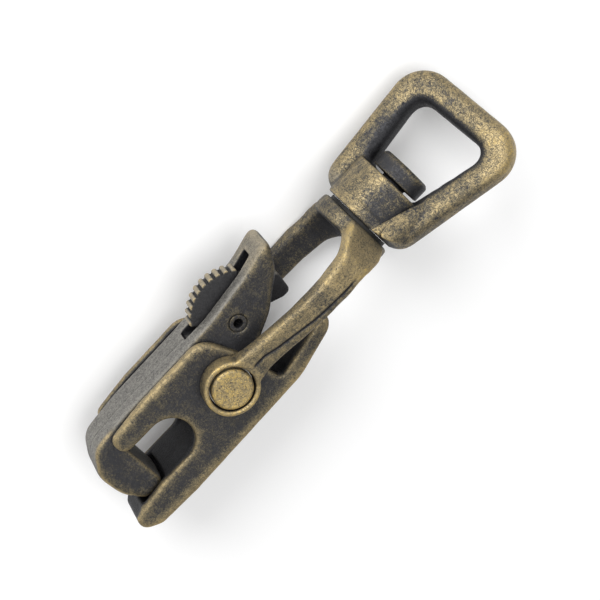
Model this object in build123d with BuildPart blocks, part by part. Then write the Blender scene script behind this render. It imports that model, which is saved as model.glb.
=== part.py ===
from build123d import *
import math
import os

os.makedirs("parts", exist_ok=True)

# Carabiner key clip: a lever hook in a channel frame, a bail on the same pivot, a swivelling strap loop.
# Millimetres. +X runs from the hook end to the strap loop, +Y towards the lever's back, +Z out of the front.
# The origin is the middle of the underside of the clip lying on its back.

# ---- driving dimensions -------------------------------------------------------------------------
PIVOT = (-16.871, -1.379, 11.8)    # main pivot, on the clip's middle plane
FRAME_HALF = 6.4                 # half the frame's thickness
PLATE = 1.6                      # each side plate
LEVER_HALF = 4.4                 # half the hook lever's thickness
THROAT_HALF = 4.25               # half the width of the hook's throat
THROAT_MID = -0.2                # the throat's centre line, measured across from the pivot
THROAT_END = -9.5                # round end of the throat, along from the pivot
RIVET_R = 2.0                    # main rivet's shank
BUSH_R = 2.6                     # sleeve that the lever turns on
FRAME_EDGE = 0.55                # rounding of the frame's outer edges
LEVER_EDGE = 0.6                 # rounding of the lever's outer edges
RUN_GAP = 0.06                   # radial clearance of a running fit
SNUG_GAP = 0.02                  # radial clearance of a fixed fit
EYE_R = 4.85                     # the bail's eyes
EYE_IN = 6.5                     # inner face of an eye
EYE_OUT = 9.6                    # outer face of an eye
DISC_R = 7.0                     # the bail's round bridge
DISC_LOW = 30.4
DISC_HIGH = 33.5
SWIVEL_R = 2.3                   # swivel rivet's shank
SWIVEL_WASHER_R = 5.9
SWIVEL_WASHER = 0.6
BOSS_LOW = 34.2                  # the strap loop's barrel boss
BOSS_HIGH = 42.0
BOSS_R = 7.0
HEAD_LOW = 42.6                  # the swivel rivet's head
HEAD_HIGH = 45.7
HEAD_R = 4.7
LOOP_THICK = 5.0                 # the strap loop's thickness
LOOP_EDGE = 1.7                  # rounding of the loop's bars
RING_CENTRE = 38.35              # the loop's outline is measured from here
LOOP_TURN = 50                   # the loop's rest position about the clip's long axis
LOOP_LEAN = -2.9                 # the ring leans to one side of its boss
PIN = (8.2, 5.0)                 # the latch's roll pin, from the main pivot
PIN_R = 1.5
PIN_BORE_R = 0.8
WHEEL = (8.8, 5.0)               # middle of the latch's thumb sector
WHEEL_R = 7.45                   # the thumb sector, at the root of its ridges
RIDGE_R = 0.5
RIDGE_STEP = 10.5                # degrees between ridges
WHEEL_FROM = 48                  # first ridge, degrees round from +X
RIDGES = 10
LATCH_HALF = 1.4
POCKET_HALF = 1.6                # half the width of the latch's pocket in the lever

MID = Plane(PIVOT)
SIDE = Plane(origin=PIVOT, x_dir=(1, 0, 0), z_dir=(0, -1, 0))


def across(x):
    """Plane square to the clip's long axis, at a distance x from the pivot."""
    return Plane(origin=(PIVOT[0] + x, PIVOT[1], PIVOT[2]), x_dir=(0, 1, 0), z_dir=(1, 0, 0))


def outline(corners):
    """Closed face from (x, y, radius) corners."""
    with BuildLine() as edge:
        FilletPolyline(*[(x, y) for x, y, _ in corners], radius=[r for _, _, r in corners], close=True)
    make_face(edge.edges())


def on_ray(centre, radius, angle):
    """Point at a radius and an angle in degrees round a centre."""
    turn = math.radians(angle)
    return (centre[0] + radius * math.cos(turn), centre[1] + radius * math.sin(turn))


# ---- frame: two side plates and the solid jaw between them ---------------------------------------
THROAT_LOW = THROAT_MID - THROAT_HALF
THROAT_TOP = THROAT_MID + THROAT_HALF
END_ROUND = THROAT_HALF - 0.05
JAW_BACK = [
    (18.4, -4.2, 0.5), (19.1, -5.3, 0.8), (17.9, -6.9, 3.0), (9.0, -9.4, 12.0), (-17.0, -10.2, 15.0),
    (-25.0, -9.9, 3.5), (-28.2, -7.9, 1.8), (-27.4, -5.9, 1.2),
]
PLATE_FACE = JAW_BACK + [
    (-25.8, -5.3, 3.0), (-20.0, THROAT_LOW, 4.0), (THROAT_END, THROAT_LOW, END_ROUND),
    (THROAT_END, THROAT_TOP, END_ROUND), (-20.2, THROAT_TOP, 1.7), (-20.3, 7.7, 1.7), (-12.0, 8.6, 15.0),
    (2.2, 8.8, 3.8), (4.7, 2.6, 6.0), (6.5, -6.8, 0.9),
]
JAW_FACE = JAW_BACK + [
    (-25.8, -5.3, 2.0), (-24.8, -4.8, 0.3), (-24.3, -6.5, 0.5), (-19.3, -6.5, 0.5),
    (-19.0, THROAT_LOW, 0.6), (-9.6, THROAT_LOW, 2.0), (-5.6, -6.5, 1.5), (7.4, -6.6, 1.0),
]

JAW_BACK_RELIEF = [(-30, -0.9), (-28.2, -1.2), (-26.8, -2.2), (-25.6, -4.2), (-24.8, -8.0), (-30, -8.0)]
LIP_BACK_END = 12.5              # behind the middle plane the lip stops here

with BuildPart() as frame:
    for side in (1, -1):
        with BuildSketch(MID.offset(side * FRAME_HALF)):
            outline(PLATE_FACE)
        extrude(amount=-side * PLATE)
    with BuildSketch(MID):
        outline(JAW_FACE)
    extrude(amount=FRAME_HALF - PLATE / 2, both=True)
    for side in (1, -1):
        face = frame.faces().sort_by(Axis.Z)[-1 if side > 0 else 0]
        fillet(face.edges(), FRAME_EDGE)
    with BuildSketch(MID):
        Circle(RIVET_R + SNUG_GAP)
    extrude(amount=FRAME_HALF + 1, both=True, mode=Mode.SUBTRACT)
    with BuildSketch(SIDE):
        Polygon(*JAW_BACK_RELIEF, align=None)
        with Locations((LIP_BACK_END + 5, -FRAME_HALF / 2)):
            Rectangle(10, FRAME_HALF)
    extrude(amount=3 * THROAT_HALF, both=True, mode=Mode.SUBTRACT)
frame.part.label = "frame"

# ---- hook lever ---------------------------------------------------------------------------------
LEVER_FACE = [
    (21.6, 11.0, 1.0), (20.1, 11.6, 0.9), (14.0, 10.0, 12.0), (5.0, 8.8, 15.0), (-17.0, 8.5, 6.0),
    (-23.2, 8.0, 3.5), (-26.4, 3.6, 4.5), (-26.1, -1.8, 5.5), (-23.8, -5.7, 1.1), (-19.6, -5.5, 0.9),
    (-19.4, 4.6, 1.2), (-10.0, 4.6, 2.0), (-5.2, -1.6, 2.0), (-3.0, -5.2, 2.6), (3.2, -5.0, 2.8),
    (6.0, -1.2, 4.0), (13.0, 2.1, 8.0), (18.7, 6.3, 8.0),
]
LATCH_POCKET = [
    (0.1, 8.0), (0.1, 14.0), (17.5, 14.0), (17.5, 9.4), (21.5, 6.4), (13.6, -1.5), (9.6, 1.4), (5.4, 2.9),
]
SPRING_POCKET_R = 4.4
SPRING_POCKET_HALF = 2.1
POCKET_WALL = 0.6                # metal round the spring pocket

with BuildPart() as hook_lever:
    with BuildSketch(MID):
        outline(LEVER_FACE)
    extrude(amount=LEVER_HALF, both=True)
    for side in (1, -1):
        face = hook_lever.faces().sort_by(Axis.Z)[-1 if side > 0 else 0]
        fillet(face.edges(), LEVER_EDGE)
    with BuildSketch(MID):
        Circle(SPRING_POCKET_R + POCKET_WALL)
    extrude(amount=FRAME_HALF - PLATE - 0.05, both=True)
    with BuildSketch(MID):
        Circle(SPRING_POCKET_R)
        with Locations((1.6, -4.0)):
            Rectangle(7.0, 8.0)
    extrude(amount=SPRING_POCKET_HALF, both=True, mode=Mode.SUBTRACT)
    with BuildSketch(MID.offset(0.9)):
        with Locations((-3.7, 3.55)):
            Rectangle(7.6, 0.8)
    extrude(amount=SPRING_POCKET_HALF - 0.9, mode=Mode.SUBTRACT)
    with BuildSketch(MID):
        Polygon(*LATCH_POCKET, align=None)
    extrude(amount=POCKET_HALF, both=True, mode=Mode.SUBTRACT)
    with BuildSketch(MID):
        Circle(BUSH_R + RUN_GAP)
        with Locations(PIN):
            Circle(PIN_R + SNUG_GAP)
    extrude(amount=FRAME_HALF, both=True, mode=Mode.SUBTRACT)
hook_lever.part.label = "hook_lever"

# ---- main pivot: rivet, sleeve, washers ----------------------------------------------------------
WASHER_R = 3.75
WASHER = 0.36
SEAT = 7.92                      # floor of an eye's counterbore
RIVET_HEAD = 9.8
RIVET_HEAD_R = 3.45

with BuildPart() as pivot_rivet:
    with BuildSketch(SIDE):
        with BuildLine():
            Polyline(
                (0, RIVET_HEAD), (RIVET_HEAD_R - 0.35, RIVET_HEAD), (RIVET_HEAD_R, RIVET_HEAD - 0.3),
                (RIVET_HEAD_R, SEAT + WASHER),
                (RIVET_R, SEAT + WASHER), (RIVET_R, -SEAT - WASHER), (3.2, -SEAT - WASHER),
                (3.0, -RIVET_HEAD + 0.5), (2.0, -RIVET_HEAD), (0, -RIVET_HEAD), close=True,
            )
        make_face()
    revolve(axis=Axis(PIVOT, (0, 0, 1)))
pivot_rivet.part.label = "pivot_rivet"

with BuildPart() as pivot_bush:
    with BuildSketch(MID):
        Circle(BUSH_R)
        Circle(RIVET_R + SNUG_GAP, mode=Mode.SUBTRACT)
    extrude(amount=FRAME_HALF - PLATE - 0.02, both=True)
pivot_bush.part.label = "pivot_bush"

washers = {}
for name, start in (("front_rivet_washer", SEAT), ("back_rivet_washer", -SEAT - WASHER)):
    with BuildPart() as washer:
        with BuildSketch(MID.offset(start)):
            Circle(WASHER_R)
            Circle(RIVET_R + SNUG_GAP, mode=Mode.SUBTRACT)
        extrude(amount=WASHER)
    washer.part.label = name
    washers[name] = washer.part


def coil(centre, radius, pitch, turns, z_from, wire_r, leg_in, leg_out):
    """Torsion spring about +Z through centre: straight leg, helix that starts at +X, straight leg."""
    climb = Vector(0, radius, pitch / (2 * math.pi)).normalized()
    end = 360 * turns
    start_pt = Vector(radius, 0, 0)
    end_pt = start_pt.rotate(Axis.Z, end) + Vector(0, 0, pitch * turns)
    with BuildPart() as spring:
        with BuildLine() as wire:
            Line(start_pt - climb * leg_in, start_pt)
            Helix(pitch, pitch * turns, radius)
            Line(end_pt, end_pt + climb.rotate(Axis.Z, end) * leg_out)
        with BuildSketch(Plane(origin=wire.wire() @ 0, z_dir=wire.wire() % 0)):
            Circle(wire_r)
        sweep(path=wire.wire(), is_frenet=True)
    return spring.part.moved(Location(Vector(*PIVOT) + Vector(*centre, z_from)))


# ---- springs ------------------------------------------------------------------------------------
hook_spring = coil((0, 0), 3.55, 0.75, 4.25, -1.6, 0.28, 6.0, 6.6)
hook_spring.label = "hook_spring"
latch_spring = coil(PIN, 2.1, 0.42, 2.0, 0.45, 0.15, 3.5, 0.4)
latch_spring.label = "latch_spring"

# ---- thumb latch: ridged sector, hub and tail ----------------------------------------------------
HUB_R = 2.9
LATCH_RECESS_R = 2.6
LATCH_RECESS_FLOOR = 0.2
WHEEL_END = WHEEL_FROM + RIDGE_STEP * (RIDGES - 1)
TAIL = [
    (14.4, 9.0, 1.0), (18.5, 4.4, 0.9), (17.9, 0.9, 0.9), (16.3, 0.9, 0.6), (13.6, 2.0, 2.0),
    (8.6, 2.1, 0.8), (6.4, 4.0, 0.5), (8.0, 8.0, 0.5),
]

with BuildPart() as thumb_latch:
    with BuildSketch(MID):
        with BuildLine():
            first = on_ray(WHEEL, WHEEL_R, WHEEL_FROM - 4)
            middle = on_ray(WHEEL, WHEEL_R, (WHEEL_FROM + WHEEL_END) / 2)
            last = on_ray(WHEEL, WHEEL_R, WHEEL_END + 4)
            ThreePointArc(first, middle, last)
            Polyline(last, (PIN[0] - 1.6, PIN[1]), (PIN[0] + 2.4, PIN[1]), first)
        make_face()
        with Locations(PIN):
            Circle(HUB_R)
        outline(TAIL)
        for ridge in range(RIDGES):
            with Locations(on_ray(WHEEL, WHEEL_R, WHEEL_FROM + ridge * RIDGE_STEP)):
                Circle(RIDGE_R)
    extrude(amount=LATCH_HALF, both=True)
    with BuildSketch(MID.offset(LATCH_RECESS_FLOOR)):
        with Locations(PIN):
            Circle(LATCH_RECESS_R)
        with Locations((PIN[0] + 2.1, PIN[1] - 2.2)):
            Rectangle(0.8, 4.4)
    extrude(amount=LATCH_HALF, mode=Mode.SUBTRACT)
    with BuildSketch(MID):
        with Locations(PIN):
            Circle(PIN_R + RUN_GAP)
    extrude(amount=LATCH_HALF, both=True, mode=Mode.SUBTRACT)
thumb_latch.part.label = "thumb_latch"

with BuildPart() as latch_pin:
    with BuildSketch(MID):
        with Locations(PIN):
            Circle(PIN_R)
            Circle(PIN_BORE_R, mode=Mode.SUBTRACT)
    extrude(amount=LEVER_HALF - 0.05, both=True)
latch_pin.part.label = "latch_pin"

# ---- bail: two eyes, two bowed arms and the round bridge -----------------------------------------
ARM_SIDE = [
    (-6.0, EYE_IN), (2.5, EYE_IN), (9.0, 7.7), (16.0, 8.8), (22.5, 8.9), (27.4, 8.0), (29.5, 6.6), (DISC_LOW, 5.2),
    (DISC_LOW, 2.0), (DISC_HIGH, 2.0), (DISC_HIGH, 6.6), (32.0, 8.3), (29.0, 10.5), (24.5, 11.7), (18.0, 11.8),
    (9.0, 10.5), (2.5, EYE_OUT), (-6.0, EYE_OUT),
]
ARM_PLAN = [
    (0.0, 3.0, 0.8), (4.4, 3.0, 2.5), (9.0, 2.75, 6.0), (20.0, 2.6, 6.0), (28.0, 2.9, 2.4), (31.2, 3.9, 1.0),
    (33.2, 3.9, 0.3), (33.2, -3.9, 0.3), (31.2, -3.9, 1.0), (28.0, -2.7, 2.4), (20.0, -2.4, 6.0),
    (8.0, -2.1, 6.0), (4.4, -2.5, 2.5), (0.0, -2.5, 0.8),
]
SWIVEL_SINK = 0.9                # depth and flare of the countersink under the swivel rivet's formed end

with BuildPart() as bail:
    for side in (1, -1):
        with BuildSketch(MID.offset(side * EYE_IN)):
            Circle(EYE_R)
        extrude(amount=side * (EYE_OUT - EYE_IN))
    with BuildPart(mode=Mode.PRIVATE) as arm_side:
        with BuildSketch(SIDE):
            Polygon(*ARM_SIDE, align=None)
        extrude(amount=DISC_R, both=True)
    with BuildPart(mode=Mode.PRIVATE) as arm_plan:
        with BuildSketch(MID):
            outline(ARM_PLAN)
        extrude(amount=DISC_R * 2)
    arm = arm_side.part & arm_plan.part
    add(arm)
    add(arm.mirror(MID))
    with BuildSketch(across(DISC_LOW)):
        Circle(DISC_R)
    extrude(amount=DISC_HIGH - DISC_LOW)
    with BuildSketch(MID):
        Circle(RIVET_R + RUN_GAP)
    extrude(amount=EYE_OUT + 1, both=True, mode=Mode.SUBTRACT)
    for side in (1, -1):
        with BuildSketch(MID.offset(side * SEAT)):
            Circle(WASHER_R + 0.2)
        extrude(amount=side * (EYE_OUT + 1 - SEAT), mode=Mode.SUBTRACT)
    with BuildSketch(SIDE):
        Polygon(
            (DISC_LOW - 1, 0), (DISC_LOW - 1, SWIVEL_R + SWIVEL_SINK), (DISC_LOW, SWIVEL_R + SWIVEL_SINK),
            (DISC_LOW + SWIVEL_SINK, SWIVEL_R + SNUG_GAP), (DISC_HIGH + 1, SWIVEL_R + SNUG_GAP),
            (DISC_HIGH + 1, 0), align=None,
        )
    revolve(axis=Axis(PIVOT, (1, 0, 0)), mode=Mode.SUBTRACT)
bail.part.label = "bail"

# ---- swivel: rivet, washer, strap loop -----------------------------------------------------------
with BuildPart() as swivel_rivet:
    with BuildSketch(SIDE):
        with BuildLine():
            Polyline(
                (DISC_LOW, 0), (DISC_LOW, SWIVEL_R + SWIVEL_SINK - SNUG_GAP), (DISC_LOW + SWIVEL_SINK, SWIVEL_R),
                (HEAD_LOW, SWIVEL_R), (HEAD_LOW, HEAD_R), (HEAD_HIGH - 0.5, HEAD_R), (HEAD_HIGH, HEAD_R - 0.5),
                (HEAD_HIGH, 0), close=True,
            )
        make_face()
    revolve(axis=Axis(PIVOT, (1, 0, 0)))
swivel_rivet.part.label = "swivel_rivet"

with BuildPart() as swivel_washer:
    with BuildSketch(across(DISC_HIGH + SNUG_GAP)):
        Circle(SWIVEL_WASHER_R)
        Circle(SWIVEL_R + SNUG_GAP, mode=Mode.SUBTRACT)
    extrude(amount=SWIVEL_WASHER)
swivel_washer.part.label = "swivel_washer"

turn = math.radians(LOOP_TURN)
LOOP_PLANE = Plane(origin=PIVOT, x_dir=(1, 0, 0), z_dir=(0, math.sin(turn), math.cos(turn)))
RING_OUTSIDE = [(-3.75, -9.3, 3.4), (24.15, -13.4, 5.8), (21.75, 13.4, 6.0), (-4.0, 9.5, 3.4)]
RING_WINDOW = [(3.65, -5.2, 1.2), (18.6, -8.3, 2.4), (17.0, 7.85, 2.6), (3.65, 5.35, 1.2)]

with BuildPart() as swivel_loop:
    ring_plane = Plane(LOOP_PLANE.location * Location((RING_CENTRE, 0, 0), (0, 0, LOOP_LEAN)))
    with BuildSketch(ring_plane):
        outline(RING_OUTSIDE)
    extrude(amount=LOOP_THICK / 2, both=True)
    with BuildSketch(ring_plane):
        outline(RING_WINDOW)
    extrude(amount=LOOP_THICK, both=True, mode=Mode.SUBTRACT)
    ring_faces = swivel_loop.faces().sort_by(Axis(ring_plane.origin, ring_plane.z_dir))
    fillet(ring_faces[0].edges() + ring_faces[-1].edges(), LOOP_EDGE)
    with BuildSketch(across(BOSS_LOW)):
        Circle(BOSS_R)
    extrude(amount=BOSS_HIGH - BOSS_LOW)
    with BuildSketch(across(BOSS_LOW - 1)):
        Circle(SWIVEL_R + RUN_GAP)
    extrude(amount=BOSS_HIGH - BOSS_LOW + 2, mode=Mode.SUBTRACT)
swivel_loop.part.label = "swivel_loop"

# ---- write every piece --------------------------------------------------------------------------
pieces = {
    "frame": frame.part,
    "hook_lever": hook_lever.part,
    "pivot_rivet": pivot_rivet.part,
    "pivot_bush": pivot_bush.part,
    "hook_spring": hook_spring,
    "latch_spring": latch_spring,
    "thumb_latch": thumb_latch.part,
    "latch_pin": latch_pin.part,
    "bail": bail.part,
    "swivel_rivet": swivel_rivet.part,
    "swivel_washer": swivel_washer.part,
    "swivel_loop": swivel_loop.part,
    **washers,
}
for name, piece in pieces.items():
    export_step(piece, f"parts/{name}.step")
    print(name, round(piece.volume, 2), piece.is_valid)
whole = Compound(children=list(pieces.values())).bounding_box()
print("whole", whole.min, whole.max)
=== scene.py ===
import math
import random

import bmesh
import bpy
import numpy as np
from mathutils import Matrix, Vector, noise
from mathutils.bvhtree import BVHTree
from mathutils.kdtree import KDTree


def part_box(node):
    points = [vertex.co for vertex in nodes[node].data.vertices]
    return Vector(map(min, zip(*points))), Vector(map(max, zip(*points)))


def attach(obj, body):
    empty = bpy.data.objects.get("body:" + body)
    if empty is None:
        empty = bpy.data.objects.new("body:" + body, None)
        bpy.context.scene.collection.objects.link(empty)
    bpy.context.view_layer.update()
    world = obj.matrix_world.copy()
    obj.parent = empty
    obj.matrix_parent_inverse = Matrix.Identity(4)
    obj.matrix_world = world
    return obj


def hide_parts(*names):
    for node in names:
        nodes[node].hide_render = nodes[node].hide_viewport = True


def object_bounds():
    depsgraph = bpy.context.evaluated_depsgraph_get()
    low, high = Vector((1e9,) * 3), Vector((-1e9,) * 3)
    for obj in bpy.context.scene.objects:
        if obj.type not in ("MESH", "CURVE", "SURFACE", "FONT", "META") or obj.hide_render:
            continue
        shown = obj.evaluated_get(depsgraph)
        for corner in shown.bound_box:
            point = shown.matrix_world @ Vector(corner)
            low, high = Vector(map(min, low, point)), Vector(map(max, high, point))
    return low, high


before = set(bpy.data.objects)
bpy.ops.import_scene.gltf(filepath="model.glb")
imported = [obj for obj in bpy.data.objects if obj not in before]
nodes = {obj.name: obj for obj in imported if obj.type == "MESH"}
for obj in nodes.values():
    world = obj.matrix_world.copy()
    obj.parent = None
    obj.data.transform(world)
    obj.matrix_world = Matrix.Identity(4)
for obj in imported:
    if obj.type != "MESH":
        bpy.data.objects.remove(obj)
cad_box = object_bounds()

# An antique-brass key clip. Every casting is a soft skin grown over its CAD solid: remeshed finely, its
# edges rounded, then given creases, pits and undulation in its mesh, and masks that its material reads:
# wear, painted shade and a painted grey sheen of light. Local sizes are millimetres from the main pivot,
# with the row's axes.

MM = 0.001
PIVOT = (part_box("pivot_bush")[0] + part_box("pivot_bush")[1]) / 2
ORIGIN = np.array(PIVOT)

GIVE_BACK = 0.75                 # how much of the form that smoothing takes is put back
RAYS = 20                        # rays that each open point is tested with
RAY_START = 0.35 * MM
RAY_REACH = 9 * MM
PIT_DEPTH = 0.04
EDGE_REACH = 0.7 * MM            # how far round a point its edge, hollow and halo are judged
HOLLOW_REACH = 0.9 * MM
HALO_REACH = 1.6 * MM
TONE_BLUR = 0.3 * MM
SHARE_BLUR = 0.8 * MM
OPEN_BLUR = 1.0 * MM


def passes_for(reach, voxel, rate=1):
    """Smoothing passes that reach about so far on a mesh of this voxel."""
    return int(rate * (reach / voxel) ** 2)


# ---- mesh arrays ---------------------------------------------------------------------------------
def points_of(mesh):
    co = np.empty(len(mesh.vertices) * 3, np.float32)
    mesh.vertices.foreach_get("co", co)
    return co.reshape(-1, 3).astype(float)


def edges_of(mesh):
    ends = np.empty(len(mesh.edges) * 2, np.int32)
    mesh.edges.foreach_get("vertices", ends)
    return ends.reshape(-1, 2)


def write_points(mesh, co):
    mesh.vertices.foreach_set("co", co.astype(np.float32).ravel())
    mesh.update()


def normals_of(mesh):
    out = np.empty(len(mesh.vertices) * 3, np.float32)
    mesh.vertex_normals.foreach_get("vector", out)
    return out.reshape(-1, 3).astype(float)


def spread(values, edges, passes, keep=0.5):
    """Each point moves towards its neighbours' mean, so many times. values is one column or several."""
    flat = values.reshape(len(values), -1).astype(float)
    count = len(flat)
    a, b = edges[:, 0], edges[:, 1]
    degree = np.maximum(np.bincount(a, minlength=count) + np.bincount(b, minlength=count), 1)
    for _ in range(passes):
        for column in range(flat.shape[1]):
            v = flat[:, column]
            total = np.bincount(a, v[b], count) + np.bincount(b, v[a], count)
            flat[:, column] = keep * v + (1 - keep) * total / degree
    return flat.reshape(values.shape)


def ramp(x, low, high):
    t = np.clip((x - low) / (high - low), 0, 1)
    return t * t * (3 - 2 * t)


def rounded(co, edges, voxel, radius):
    """Rounds edges to about the radius, and gives back most of what rods and thin walls would lose."""
    passes = max(2, passes_for(radius, voxel, 2))
    soft = spread(co, edges, passes)
    return soft + GIVE_BACK * spread(co - soft, edges, max(2, passes // 2))


# ---- skins over the CAD solids -------------------------------------------------------------------
def welded(node):
    """A copy of a CAD node's mesh with its split corners joined."""
    bm = bmesh.new()
    bm.from_mesh(nodes[node].data)
    bmesh.ops.remove_doubles(bm, verts=bm.verts, dist=2e-6)
    mesh = bpy.data.meshes.new(node + "_skin")
    bm.to_mesh(mesh)
    bm.free()
    return mesh


def remeshed(mesh, voxel):
    holder = bpy.data.objects.new("holder", mesh)
    bpy.context.scene.collection.objects.link(holder)
    step = holder.modifiers.new("skin", "REMESH")
    step.mode = "VOXEL"
    step.voxel_size = voxel
    deps = bpy.context.evaluated_depsgraph_get()
    made = bpy.data.meshes.new_from_object(holder.evaluated_get(deps))
    bpy.data.objects.remove(holder)
    return made


all_faces = []
all_points = []
for cad in nodes.values():
    start = len(all_points)
    all_points += [v.co.copy() for v in cad.data.vertices]
    all_faces += [[start + i for i in p.vertices] for p in cad.data.polygons]
NEIGHBOURS = BVHTree.FromPolygons(all_points, all_faces)

random.seed(7)
DOME = []
while len(DOME) < RAYS:
    ray = Vector((random.uniform(-1, 1), random.uniform(-1, 1), random.uniform(0, 1)))
    if 0.2 < ray.length < 1:
        DOME.append(ray.normalized())


def exposure(co, normal, edges, voxel):
    """How open each point is to its surroundings, 0 in a closed gap and 1 on an outside face."""
    stride = max(1, int((0.9 * MM / voxel) ** 2 / 2))
    picked = np.arange(0, len(co), stride)
    tree = KDTree(len(picked))
    values = np.empty(len(picked))
    for k, i in enumerate(picked):
        n = Vector(normal[i])
        start = Vector(co[i]) + n * RAY_START
        turn = n.to_track_quat("Z", "Y")
        free = sum(NEIGHBOURS.ray_cast(start, turn @ ray, RAY_REACH)[0] is None for ray in DOME)
        values[k] = free / len(DOME)
        tree.insert(co[i], k)
    tree.balance()
    full = np.array([values[tree.find(p)[1]] for p in co])
    return spread(full, edges, passes_for(OPEN_BLUR, voxel))


def scattered(co, count, seed):
    """Small round pits at random points, 0 outside and 1 at a pit's middle."""
    depth = np.zeros(len(co))
    random.seed(seed)
    tree = KDTree(len(co))
    for i, p in enumerate(co):
        tree.insert(p, i)
    tree.balance()
    for _ in range(count):
        at = co[random.randrange(len(co))]
        radius = random.uniform(0.10, 0.28) * MM
        for _, i, far in tree.find_range(at, radius):
            depth[i] = max(depth[i], 1 - (far / radius) ** 2)
    return depth


def skin(
    name, node, body, voxel, rounding, soft=None, shape=None, tone=None, undulation=0.02, pits=0,
    seed=1,
):
    """Replaces a CAD node with a soft casting. rounding is the radius that its edges get, in metres.

    soft is a larger radius and where it applies, shape moves points, and tone says where the metal is
    painted dark, mostly as shade, where a sheen of light is painted grey and where hands rub it."""
    mesh = remeshed(welded(node), voxel)
    co, edges = points_of(mesh), edges_of(mesh)
    original = co
    co = rounded(co, edges, voxel, rounding)
    if soft is not None:
        radius, where = soft
        share = spread(where((original - ORIGIN) / MM), edges, passes_for(SHARE_BLUR, voxel))
        co = co + share[:, None] * (rounded(original, edges, voxel, radius) - co)
    write_points(mesh, co)
    if shape is not None:
        co = shape((co - ORIGIN) / MM, normals_of(mesh)) * MM + ORIGIN
        co = spread(co, edges, 2)
        write_points(mesh, co)
    normal = normals_of(mesh)

    def proud(reach):
        near = spread(co, edges, max(1, passes_for(reach, voxel, 2)))
        return ((co - near) * normal).sum(1) / reach

    edge = np.maximum(proud(EDGE_REACH), 0) * 4.0
    hollow = np.maximum(-proud(HOLLOW_REACH), 0) * 4.0
    halo = spread(edge, edges, passes_for(HALO_REACH, voxel)) * 1.6
    exposed = exposure(co, normal, edges, voxel)
    dark, grey, rub = np.zeros((3, len(co)))
    if tone is not None:
        tones = (v + 0 * dark for v in tone((co - ORIGIN) / MM, normal))
        dark, grey, rub = (spread(v, edges, passes_for(TONE_BLUR, voxel)) for v in tones)

    lift = np.zeros(len(co))
    shift = Vector((seed * 1.37, seed * 0.71, seed * 2.13))
    for i, p in enumerate(co / MM):
        v = Vector(p)
        lift[i] = noise.noise(v * 0.38 + shift) + 0.4 * noise.noise(v * 1.3 + shift)
    pit = scattered(co, pits, seed)
    lift = (lift * undulation - pit * PIT_DEPTH) * MM
    write_points(mesh, np.clip(co + normal * lift[:, None], np.array(cad_box[0]), np.array(cad_box[1])))

    masks = {
        "edge": edge, "halo": halo, "hollow": hollow, "exposed": exposed, "pit": pit,
        "dark": dark, "grey": grey, "rub": rub,
    }
    for label, values in masks.items():
        layer = mesh.attributes.new(label, "FLOAT", "POINT")
        layer.data.foreach_set("value", np.clip(values, 0, 2).astype(np.float32))
    mesh.polygons.foreach_set("use_smooth", [True] * len(mesh.polygons))
    mesh.materials.clear()
    piece = bpy.data.objects.new(name, mesh)
    bpy.context.scene.collection.objects.link(piece)
    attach(piece, body)
    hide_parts(node)
    print(name, len(mesh.vertices), "vertices", flush=True)
    return piece


# ---- where each casting is rounder, creased, painted dark with shade or patina, painted grey with sheen, or rubbed ---
def frame_soft(p):
    """The finger, the back edge and the tip are worn round."""
    x, y, _ = p.T
    back = ramp(-y, 6.5, 8.5) * ramp(x, -26.0, -23.0)
    return np.maximum.reduce([ramp(y, 5.0, 7.0), back, ramp(-x, 16.0, 18.0) * ramp(y, 2.0, 3.5)])


def frame_tone(p, normal):
    """Shade is painted dark inside the channel and on the web's inner face, the end faces are a little
    darker, and the outer corners are rubbed.
    """
    x, y, z = p.T
    inside = ramp(5.2 - np.abs(z), 0.0, 0.5) * ramp(y, -7.0, -5.5)
    web = ramp(normal[:, 1], 0.3, 0.8) * ramp(5.6 - np.abs(z), 0.0, 0.6) * ramp(-y, 2.0, 3.5)
    end = ramp(normal[:, 0], 0.2, 0.7) * ramp(x, 17.0, 18.5)
    rub = np.maximum(ramp(-y, 7.2, 9.0), 0.4 * ramp(y, 7.0, 8.4)) * ramp(np.abs(z), 3.0, 5.6)
    return np.maximum.reduce([inside, web, 0.4 * end]), 0, 0.38 * rub


def lever_soft(p):
    """The outer edges of the foot and of the thumb end are worn round."""
    x, _, z = p.T
    return np.maximum(ramp(-x, 14.0, 19.0), ramp(x, 13.0, 16.0)) * ramp(np.abs(z), 2.4, 3.6)


PARTING_Z = 0.9                  # the parting line on the lever's back, towards the front


def lever_shape(p, normal):
    """A parting step runs along the lever's back."""
    q = p.copy()
    back = ramp(normal[:, 1], 0.5, 0.9) * ramp(p[:, 1], 5.5, 7.0) * ramp(-p[:, 0], -1.5, 0.5)
    q[:, 1] -= back * 0.12 * ramp(PARTING_Z - p[:, 2], -0.15, 0.15)
    q[:, 1] -= back * 0.26 * np.exp(-((p[:, 2] - PARTING_Z) / 0.17) ** 2)
    return q


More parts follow.
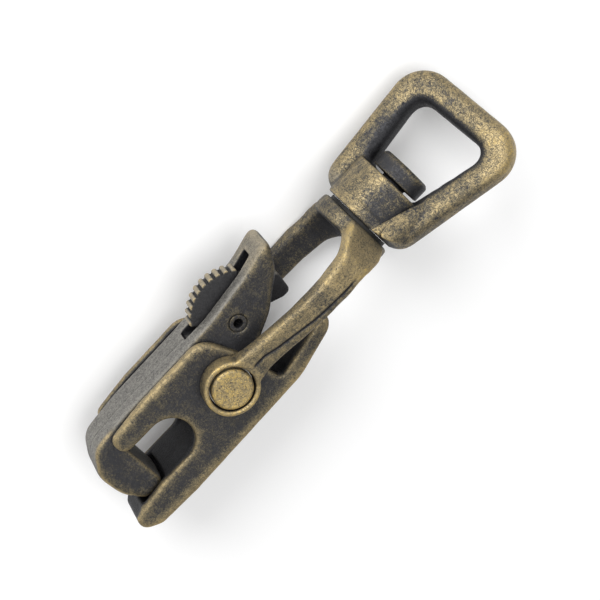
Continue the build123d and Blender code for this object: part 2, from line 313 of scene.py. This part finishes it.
def lever_tone(p, normal):
    """A sheen of light is painted grey on the lever's back and the foot's end face, less at the thumb end;
    shade is painted dark on the web, in the latch's pocket, along the parting step and a little on the
    foot; and the two ends are rubbed.
    """
    x, y, z = p.T
    back = ramp(normal[:, 1], 0.25, 0.75) * ramp(y, 3.0, 6.0)
    foot = ramp(normal[:, 0], 0.3, 0.8) * ramp(-x, 17.0, 18.5)
    web = ramp(-normal[:, 1], 0.3, 0.9) * ramp(x, -19.0, -18.0)
    parting = 0.75 * back * ramp(y, 5.5, 7.0) * ramp(-x, -1.5, 0.5)
    parting = parting * np.exp(-((z - PARTING_Z) / 0.14) ** 2)
    pocket = ramp(1.8 - np.abs(z), 0.0, 0.15) * ramp(x, -0.6, 0.0) * ramp(y, 2.0, 3.0)
    pocket = pocket * (1 - ramp(normal[:, 1], 0.2, 0.6))
    thumb = ramp(x, 12.0, 17.0)
    tilt = np.abs(normal[:, 2])
    bevel = ramp(-x, 17.5, 19.5) * ramp(tilt, 0.3, 0.55) * ramp(-tilt, -0.97, -0.85)
    grey = np.maximum(back, 0.7 * foot) * (1 - 0.35 * thumb) * (1 - 0.8 * bevel)
    rub = np.maximum(0.5 * back * thumb, 0.45 * bevel)
    return np.maximum.reduce([0.8 * web, 0.3 * foot * (1 - bevel), pocket, parting]), grey, rub


CREASE_X = (3.0, 4.7, 7.7, 9.9, 14.8, 19.8, 27.5)
CREASE_Y = (0.2, 0.3, 0.5, 0.0, -0.5, -1.0, -1.4)


def bail_soft(p):
    """The arms are round rods, and so is the rim of the bridge that they grow from."""
    x, y, z = p.T
    arm = ramp(x, 3.5, 7.0) * ramp(-x, -29.8, -27.0)
    root = ramp(x, 24.0, 27.0) * (1 - 0.4 * ramp(x, 32.6, 33.4)) * ramp(np.hypot(y, z), 4.2, 6.0)
    return np.maximum(arm, root)


def bail_shape(p, normal):
    """A crease runs along each arm's outside, and the metal on one side of it is lower."""
    q = p.copy()
    side = np.sign(p[:, 2])
    outside = ramp(normal[:, 2] * side, 0.15, 0.6)
    outside = outside * ramp(p[:, 0], 4.6, 6.0) * ramp(-p[:, 0], -27.8, -25.4)
    over = p[:, 1] - np.interp(p[:, 0], CREASE_X, CREASE_Y)
    drop = 0.26 * ramp(-over, -0.05, 0.25) + 0.36 * np.exp(-((over + 0.1) / 0.15) ** 2)
    q[:, 2] -= side * outside * drop
    return q


def bail_tone(p, normal):
    """Shade is painted dark on the arms' insides, on the back arm, in the crease, under the bridge, in the
    rivet's seat and round the disc; a sheen of light is painted grey on faces towards the loop; and the
    front arm is rubbed at its root and its eye.
    """
    x, y, z = p.T
    side = np.sign(z)
    inside = 0.45 * ramp(-normal[:, 2] * side, 0.1, 0.7) * ramp(x, 5.0, 9.0)
    behind = ramp(-z, -1.0, 3.0) * 0.25
    over = y - np.interp(x, CREASE_X, CREASE_Y)
    crease = 1.2 * np.exp(-((over + 0.1) / 0.16) ** 2) * ramp(normal[:, 2] * side, 0.1, 0.4)
    crease *= ramp(x, 4.6, 6.0) * ramp(-x, -27.4, -25.2)
    bridge = ramp(-normal[:, 0], 0.5, 0.9) * ramp(x, 27.0, 29.5)
    seat = 0.8 * ramp(9.7 - np.abs(z), 0.3, 0.6) * ramp(4.2 - np.hypot(x, y), 0.0, 0.3)
    disc = 0.30 * ramp(x, 29.9, 30.6) * ramp(-z, -6.4, -4.8)
    root = 0.32 * ramp(x, 20.0, 27.0) * ramp(z, 5.5, 7.0)
    eye = 0.25 * ramp(-x, -5.5, -4.5) * ramp(z, 6.5, 8.0)
    # faces towards the loop get a painted grey sheen of light
    grey_sheen = 0.35 * ramp(normal[:, 0], 0.5, 0.9)
    dark = np.maximum.reduce([inside, behind, 0.8 * bridge, seat, disc, crease])
    return dark, grey_sheen, np.maximum(root, eye)


LOOP_TURN = math.radians(50)
LOOP_LEAN = math.radians(-2.9)
RING_CENTRE = 38.35


def in_ring(p):
    """Along, across and out of the ring's plane, from the middle of its boss."""
    along = p[:, 0] - RING_CENTRE
    across = p[:, 1] * math.cos(LOOP_TURN) - p[:, 2] * math.sin(LOOP_TURN)
    out = p[:, 1] * math.sin(LOOP_TURN) + p[:, 2] * math.cos(LOOP_TURN)
    cos, sin = math.cos(LOOP_LEAN), math.sin(LOOP_LEAN)
    return along * cos + across * sin, across * cos - along * sin, out


BOSS_R = 7.0


def bar_border(a):
    """How far across the ring's bar ends and the boss begins."""
    return 5.39 + 0.18 * (a + 1.7)


RING_OUT = np.array((0.0, math.sin(LOOP_TURN), math.cos(LOOP_TURN)))


def loop_soft(p):
    """The bars are round everywhere but beside the boss."""
    a, w, _ = in_ring(p)
    return np.maximum(ramp(a, 3.4, 6.0), ramp(np.abs(w), 6.8, 8.4))


# Each nick's place along and across, its width and its depth.
NICKS = ((8.9, -6.1, 0.55, 0.30), (11.9, -6.6, 0.7, 0.42), (12.6, -6.7, 0.4, 0.3))


def loop_shape(p, normal):
    """The ring's bar runs on thick beside the boss and stands proud of it, and its inner edge is nicked."""
    a, w, out = in_ring(p)
    face = ramp(normal @ RING_OUT, 0.1, 0.5)
    border = bar_border(a)
    crest = np.sqrt(np.clip(BOSS_R**2 - border**2, 0, None)) + 0.35
    crown = crest * np.sqrt(np.clip(1 - ((-w - border) / (9.6 - border)) ** 2, 0, 1))
    beside = face * ramp(-a, -9.0, -3.5) * ramp(-w - border, -0.05, 0.2)
    p = p + (beside * np.maximum(crown - out, 0))[:, None] * RING_OUT
    lip = face * ramp(-a, 1.8, 2.1) * ramp(w, -6.0, -5.2) * ramp(-w, -1.0, 2.0)
    lift = 0.16 * lip
    for at_a, at_w, wide, deep in NICKS:
        far = ((a - at_a) / wide) ** 2 + ((w - at_w) / (0.6 * wide)) ** 2
        lift -= face * deep * np.exp(-far)
    return p + lift[:, None] * normal


def loop_tone(p, normal):
    """Shade is painted dark on the window's wall, on the boss's lower end and lower side and on the ring's
    back face, the near bar is a little darker, a sheen of light is painted grey on the shoulder beside the
    boss, and the far corner is rubbed.
    """
    a, w, _ = in_ring(p)
    inwards = np.stack([10.5 - a, -w, 0 * w], 1)
    inwards /= np.linalg.norm(inwards, axis=1)[:, None]
    flat = np.stack(in_ring(normal + np.array((RING_CENTRE, 0.0, 0.0))), 1)
    turned = (flat * inwards).sum(1) + 0.38 * ramp(w, 2.0, 6.0) * ramp(-a, -16.0, -9.0)
    inside = ramp(turned, 0.10, 0.80) * ramp(a, 3.0, 4.6)
    seat = ramp(-normal[:, 0], 0.6, 0.9) * ramp(-a, 2.5, 3.4)
    under = ramp(-(normal @ RING_OUT), 0.2, 0.8) * 0.25
    foot = ramp(bar_border(a) + w, -0.1, 0.3)
    low = 0.55 * ramp(-w, 0.0, 3.5) * foot * ramp(-a, -3.9, -3.0)
    shoulder = ramp(w, 5.4, 6.4) * ramp(-a, 0.0, 3.0)
    corner = ramp(a, 14.0, 20.0) * ramp(-w, 3.0, 8.0)
    near = 0.12 * ramp(-w, 4.0, 6.0) * ramp(-a, -15.0, -11.0)
    return np.maximum.reduce([inside, 0.9 * seat, under, low, near]), 0.6 * shoulder, 0.28 * corner


def head_shape(p, normal):
    """The formed head nearly fills its counterbore."""
    q = p.copy()
    q[:, :2] *= (1 + 0.045 * ramp(np.abs(p[:, 2]), 8.2, 8.6))[:, None]
    return q


LATCH_WHEEL = (8.8, 5.0)


def latch_tone(p, normal):
    """The latch's flat sides stay dark and its valleys are darker; a sheen of light is painted grey on the
    ridges, most on their tips, and the tips are rubbed.
    """
    side = ramp(np.abs(normal[:, 2]), 0.6, 0.9)
    reach = np.hypot(p[:, 0] - LATCH_WHEEL[0], p[:, 1] - LATCH_WHEEL[1])
    tip = ramp(reach, 7.50, 7.85) * ramp(p[:, 1], 8.0, 9.0)
    valley = (1 - side) * ramp(-reach, -7.8, -7.5)
    grey = 0.1 * side + (1 - side) * (0.35 + 0.35 * tip)
    return np.maximum(0.75 * side * (1 - tip), 1.6 * valley), grey, 0.8 * tip


# ---- materials -----------------------------------------------------------------------------------
class Nodes:
    """A material's node tree, with short calls for the nodes used here."""

    def __init__(self, name):
        self.material = bpy.data.materials.new(name)
        self.material.use_nodes = True
        self.tree = self.material.node_tree
        self.shader = self.tree.nodes["Principled BSDF"]
        self.place = self.tree.nodes.new("ShaderNodeTexCoord").outputs["Object"]

    def put(self, socket, value):
        if isinstance(value, bpy.types.NodeSocket):
            self.tree.links.new(value, socket)
        else:
            socket.default_value = value

    def noise(self, per_mm, detail=2.0, rough=0.5, bend=0.0):
        node = self.tree.nodes.new("ShaderNodeTexNoise")
        self.put(node.inputs["Vector"], self.place)
        node.inputs["Scale"].default_value = per_mm / MM
        node.inputs["Detail"].default_value = detail
        node.inputs["Roughness"].default_value = rough
        node.inputs["Distortion"].default_value = bend
        return node.outputs["Fac"]

    def mask(self, label):
        node = self.tree.nodes.new("ShaderNodeAttribute")
        node.attribute_name = label
        return node.outputs["Fac"]

    def maths(self, how, a, b=0.0, clamp=False):
        node = self.tree.nodes.new("ShaderNodeMath")
        node.operation = how
        node.use_clamp = clamp
        self.put(node.inputs[0], a)
        self.put(node.inputs[1], b)
        return node.outputs[0]

    def sum(self, *terms):
        """Adds (socket, weight) pairs and plain numbers."""
        total = None
        for term in terms:
            value = self.maths("MULTIPLY", term[0], term[1]) if isinstance(term, tuple) else term
            total = value if total is None else self.maths("ADD", total, value)
        return total

    def spread(self, value, low, high, to_low=0.0, to_high=1.0):
        node = self.tree.nodes.new("ShaderNodeMapRange")
        node.interpolation_type = "SMOOTHSTEP"
        self.put(node.inputs["Value"], value)
        node.inputs["From Min"].default_value = low
        node.inputs["From Max"].default_value = high
        node.inputs["To Min"].default_value = to_low
        node.inputs["To Max"].default_value = to_high
        return node.outputs["Result"]

    def thread(self, per_mm, width, bend):
        """Fine worm-like lines, where a noise passes its middle value."""
        ripple = self.maths("ABSOLUTE", self.sum(self.noise(per_mm, 1.0, 0.4, bend), -0.5))
        return self.spread(ripple, 0.0, width, 1.0, 0.0)

    def mix(self, share, a, b):
        node = self.tree.nodes.new("ShaderNodeMix")
        node.data_type = "RGBA"
        self.put(node.inputs["Factor"], share)
        for socket, colour in ((node.inputs["A"], a), (node.inputs["B"], b)):
            self.put(socket, colour if isinstance(colour, bpy.types.NodeSocket) else (*colour, 1))
        return node.outputs["Result"]

    def bump(self, height, distance, strength=1.0, before=None):
        node = self.tree.nodes.new("ShaderNodeBump")
        node.inputs["Strength"].default_value = strength
        node.inputs["Distance"].default_value = distance
        self.put(node.inputs["Height"], height)
        if before is not None:
            self.put(node.inputs["Normal"], before)
        return node.outputs["Normal"]


CHARCOAL = (0.052, 0.052, 0.056)
OLIVE = (0.155, 0.134, 0.092)
BRASS = (0.38, 0.298, 0.160)
BRIGHT_BRASS = (0.62, 0.45, 0.160)
# this near-black darkens hollows and pits as patina, and is painted shade in closed gaps and where the dark
# mask lies
SOOT_AND_SHADE = (0.018, 0.018, 0.020)
# this grey is a painted sheen: the white reflection of the key light on faces turned towards it
SHEEN_GREY = (0.200, 0.192, 0.174)


def antique_brass(name, bias, edge_gain=1.0, open_gain=0.4, mottle=1.0, rough=0.52):
    """Patina that is rubbed through to brass: on edges, on open faces and in a fine mottle, with painted
    shade and a painted grey sheen of light mixed in where the masks say.
    """
    n = Nodes(name)
    blotch = n.noise(0.20, 2.0)
    cloud = n.noise(0.75, 3.0, 0.55)
    speck = n.noise(2.3, 3.0, 0.65, 0.8)
    dust = n.noise(6.0, 2.0, 0.6)
    worm = n.maths("MAXIMUM", n.thread(0.75, 0.040, 1.5), n.thread(1.5, 0.045, 1.0))
    wear = n.sum(
        (n.mask("edge"), 0.6 * edge_gain), (n.mask("halo"), 0.48 * edge_gain),
        (n.mask("exposed"), open_gain), (n.mask("hollow"), -0.7), (n.mask("pit"), -0.6),
        (n.mask("dark"), -1.0), (n.mask("rub"), 1.0), (worm, -0.38 * mottle),
        (blotch, 0.8 * mottle), (cloud, 0.9 * mottle), (speck, 1.25 * mottle), (dust, 1.3 * mottle),
        bias - 2.03 * mottle,
    )
    rubbed = n.spread(wear, -0.10, 0.55)
    gold = n.spread(wear, 0.30, 1.05)
    bright = n.spread(wear, 0.95, 1.60)
    colour = n.mix(rubbed, CHARCOAL, OLIVE)
    colour = n.mix(gold, colour, n.mix(bright, BRASS, BRIGHT_BRASS))
    grainy = n.spread(n.sum(speck, dust, (n.mask("edge"), 0.3)), 0.75, 1.25)
    # the grey mask mixes in the painted sheen of light, grainy, in place of the patina
    grey_sheen = n.mix(grainy, [0.42 * c for c in SHEEN_GREY], [1.32 * c for c in SHEEN_GREY])
    sheen_share = n.sum((n.mask("grey"), n.spread(cloud, 0.25, 0.6, 0.7, 0.95)))
    colour = n.mix(sheen_share, colour, grey_sheen)
    # near-black mix: patina in hollows and pits, and painted shade where the dark mask lies and where rays
    # find the point closed in
    sunk_and_shaded = n.sum(
        (n.mask("hollow"), 0.8), (n.mask("pit"), 0.6), (n.mask("dark"), 0.75), (speck, 0.7),
        (n.mask("exposed"), -0.6), (worm, 0.16 * mottle), -0.05,
    )
    colour = n.mix(n.spread(sunk_and_shaded, 0.1, 1.0, 0.0, 0.9), colour, SOOT_AND_SHADE)
    n.put(n.shader.inputs["Base Color"], colour)
    n.put(n.shader.inputs["Metallic"], n.sum((n.mask("grey"), -0.35), 0.85))
    gloss = n.sum((gold, -0.08), (cloud, 0.10), (dust, 0.12), (n.mask("grey"), 0.1), rough - 0.08)
    n.put(n.shader.inputs["Roughness"], gloss)
    grain = n.bump(n.noise(7.0, 2.0, 0.6), 0.018 * MM, 0.8)
    relief = n.sum((speck, 1.0), (worm, -0.7), (cloud, 0.5))
    n.put(n.shader.inputs["Normal"], n.bump(relief, 0.05 * MM, 0.8, grain))
    return n.material


cast_frame = antique_brass("brass_frame", -0.26, edge_gain=0.85, open_gain=0.30, mottle=0.7)
cast_lever = antique_brass("brass_lever", -0.30, edge_gain=0.85, open_gain=0.25, mottle=0.7)
cast_loop = antique_brass("brass_loop", 0.14, edge_gain=0.4, open_gain=0.35, mottle=1.0)
cast_bail = antique_brass("brass_bail", 0.12, edge_gain=0.4, open_gain=0.35, mottle=0.9)
cast_latch = antique_brass("brass_latch", -0.40, edge_gain=0.45)
turned_head = antique_brass("brass_rivet", 0.60, edge_gain=0.2, open_gain=0.5, mottle=1.3)
turned_dark = antique_brass("brass_swivel", -0.70, edge_gain=0.8)
dark_pin = antique_brass("brass_pin", -0.75, edge_gain=0.6)

frame_skin = skin(
    "frame_casting", "frame", "frame", 0.21 * MM, 0.5 * MM, (0.95 * MM, frame_soft),
    tone=frame_tone, pits=120, seed=3,
)
lever_skin = skin(
    "lever_casting", "hook_lever", "lever", 0.17 * MM, 0.6 * MM, (1.6 * MM, lever_soft),
    shape=lever_shape, tone=lever_tone, pits=90, seed=5,
)
bail_skin = skin(
    "bail_casting", "bail", "bail", 0.15 * MM, 0.5 * MM, (1.4 * MM, bail_soft),
    shape=bail_shape, tone=bail_tone, pits=90, seed=8,
)
loop_skin = skin(
    "strap_loop", "swivel_loop", "loop", 0.17 * MM, 0.5 * MM, (1.25 * MM, loop_soft),
    shape=loop_shape, tone=loop_tone, pits=150, seed=11,
)
latch_skin = skin(
    "thumb_latch_casting", "thumb_latch", "latch", 0.075 * MM, 0.09 * MM,
    tone=latch_tone, undulation=0.006, seed=13,
)
head_skin = skin(
    "rivet_head", "pivot_rivet", "frame", 0.12 * MM, 0.22 * MM, shape=head_shape, pits=30, seed=17,
)
swivel_skin = skin(
    "swivel_head", "swivel_rivet", "bail", 0.12 * MM, 0.3 * MM, pits=20, seed=19,
)
pin_skin = skin("roll_pin", "latch_pin", "lever", 0.09 * MM, 0.1 * MM, undulation=0.005, seed=23)

for piece, material in (
    (frame_skin, cast_frame), (lever_skin, cast_lever), (bail_skin, cast_bail), (loop_skin, cast_loop),
    (latch_skin, cast_latch), (head_skin, turned_head), (swivel_skin, turned_dark), (pin_skin, dark_pin),
):
    piece.data.materials.append(material)


def plain_metal(name, colour, roughness, metallic=1.0):
    n = Nodes(name)
    cloud = n.noise(1.1, 3.0, 0.6)
    shade = n.mix(n.spread(cloud, 0.3, 0.7), colour, [0.55 * c for c in colour])
    n.put(n.shader.inputs["Base Color"], shade)
    n.shader.inputs["Metallic"].default_value = metallic
    n.put(n.shader.inputs["Roughness"], n.sum((cloud, 0.3), roughness - 0.15))
    n.put(n.shader.inputs["Normal"], n.bump(n.noise(6.0, 3.0), 0.02 * MM, 0.6))
    return n.material


def cover(node, material):
    """Gives a CAD node that stays a new material on its object's slots."""
    piece = nodes[node]
    if not piece.material_slots:
        piece.data.materials.append(material)
    for place in piece.material_slots:
        place.link = "OBJECT"
        place.material = material


steel = plain_metal("spring_steel", (0.42, 0.40, 0.37), 0.35)
washer_metal = plain_metal("washer_steel", (0.62, 0.60, 0.56), 0.28)
washer_brass = plain_metal("washer_brass", (0.09, 0.072, 0.045), 0.45)
# the swivel washer is near-black: painted shade for the gap between the bail's disc and the loop's boss
washer_painted_shade = plain_metal("washer_painted_shade", (0.016, 0.015, 0.014), 0.6, 0.4)
for node, material in (
    ("hook_spring", steel), ("latch_spring", steel), ("front_rivet_washer", washer_metal),
    ("back_rivet_washer", washer_metal), ("swivel_washer", washer_painted_shade), ("pivot_bush", washer_brass),
):
    cover(node, material)

# ---- floor, light, camera ------------------------------------------------------------------------
low, high = cad_box
centre = (low + high) / 2
bm = bmesh.new()
bmesh.ops.create_grid(bm, x_segments=1, y_segments=1, size=3.0)
floor_mesh = bpy.data.meshes.new("floor")
bm.to_mesh(floor_mesh)
bm.free()
floor = bpy.data.objects.new("floor", floor_mesh)
floor.location = (centre.x, centre.y, low.z)
bpy.context.scene.collection.objects.link(floor)
paper = Nodes("paper")
paper.shader.inputs["Base Color"].default_value = (0.95, 0.95, 0.95, 1)
paper.shader.inputs["Roughness"].default_value = 0.9
paper.shader.inputs["Specular IOR Level"].default_value = 0.1
floor_mesh.materials.append(paper.material)

AZIMUTH = math.radians(173.63)
ELEVATION = math.radians(61.85)
ROLL = math.radians(139.42)
DISTANCE = 333.33 * MM
AIM = PIVOT + Vector((17.588, -2.406, 0.235)) * MM
back = Vector((
    math.sin(AZIMUTH) * math.cos(ELEVATION), -math.cos(AZIMUTH) * math.cos(ELEVATION), math.sin(ELEVATION),
))
turn = (-back).to_track_quat("-Z", "Y").to_matrix() @ Matrix.Rotation(ROLL, 3, "Z")
camera = bpy.data.objects.new("camera", bpy.data.cameras.new("camera"))
bpy.context.scene.collection.objects.link(camera)
camera.matrix_world = Matrix.Translation(AIM + back * DISTANCE) @ turn.to_4x4()
camera.data.sensor_width = 36
camera.data.lens = 120
camera.data.clip_start, camera.data.clip_end = 0.01, 10
bpy.context.scene.camera = camera


def softbox(name, towards, distance, size, watts):
    lamp = bpy.data.lights.new(name, "AREA")
    lamp.shape = "DISK"
    lamp.size = size
    lamp.energy = watts
    holder = bpy.data.objects.new(name, lamp)
    bpy.context.scene.collection.objects.link(holder)
    direction = Vector(towards).normalized()
    holder.location = centre + direction * distance
    holder.rotation_euler = direction.to_track_quat("Z", "Y").to_euler()


softbox("key", (0.07, 1.09, 0.75), 0.7, 0.45, 3.6)
softbox("top", (0.1, 0.1, 1.0), 0.9, 0.8, 4.4)
world = bpy.data.worlds.new("studio")
world.use_nodes = True
world.node_tree.nodes["Background"].inputs["Color"].default_value = (1, 1, 1, 1)
world.node_tree.nodes["Background"].inputs["Strength"].default_value = 0.42
bpy.context.scene.world = world
bpy.context.scene.view_settings.view_transform = "Standard"
